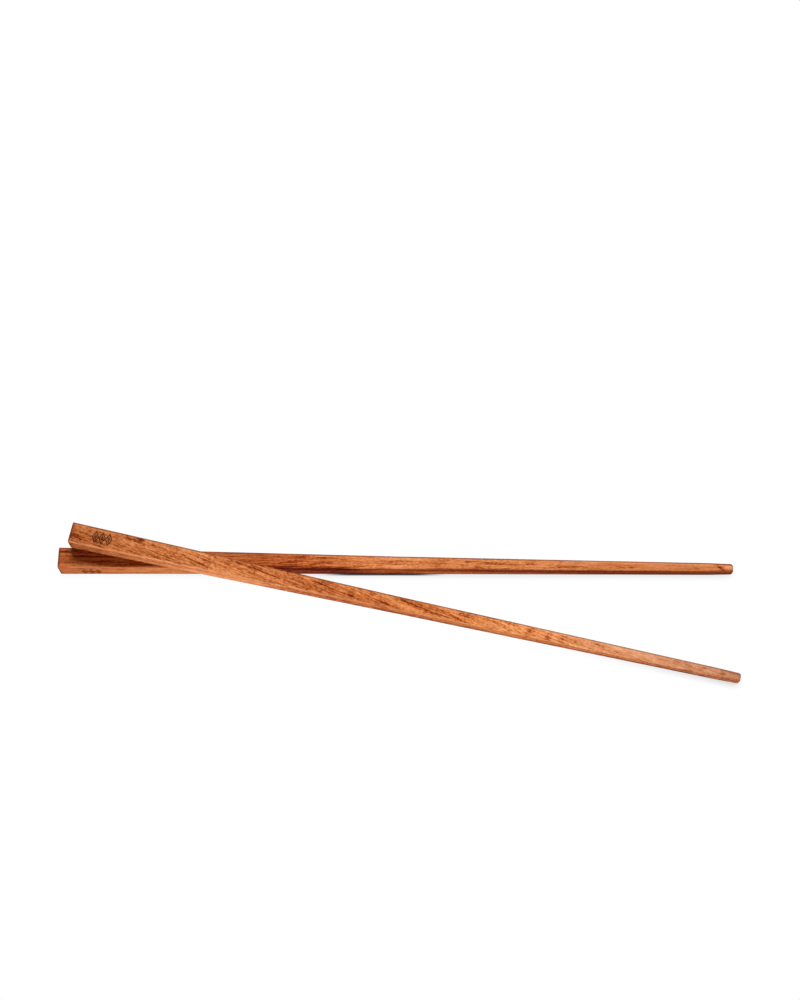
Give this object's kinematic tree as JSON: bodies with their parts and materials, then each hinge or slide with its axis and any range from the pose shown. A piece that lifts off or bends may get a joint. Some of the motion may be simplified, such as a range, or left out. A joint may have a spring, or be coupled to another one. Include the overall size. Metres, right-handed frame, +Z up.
{
  "type": "pair of chopsticks",
  "caption": "Square, slim-tapered hardwood eating sticks with eased long edges and rounded tips, lying crossed near their thick ends, for picking up food.",
  "frame": {"origin": "on the table, under the middle of the pair's bounding box", "axes": "+X along the lower stick, from its thick end to its eating end; +Y away from the viewer; +Z up"},
  "size_m": [0.2404, 0.0526, 0.0159],
  "materials": {
    "hardwood": "oiled, satin, open grain with short dark pores"
  },
  "bodies": {
    "root": {"lower_chopstick": "hardwood", "upper_chopstick": "hardwood"}
  },
  "joints": []
}
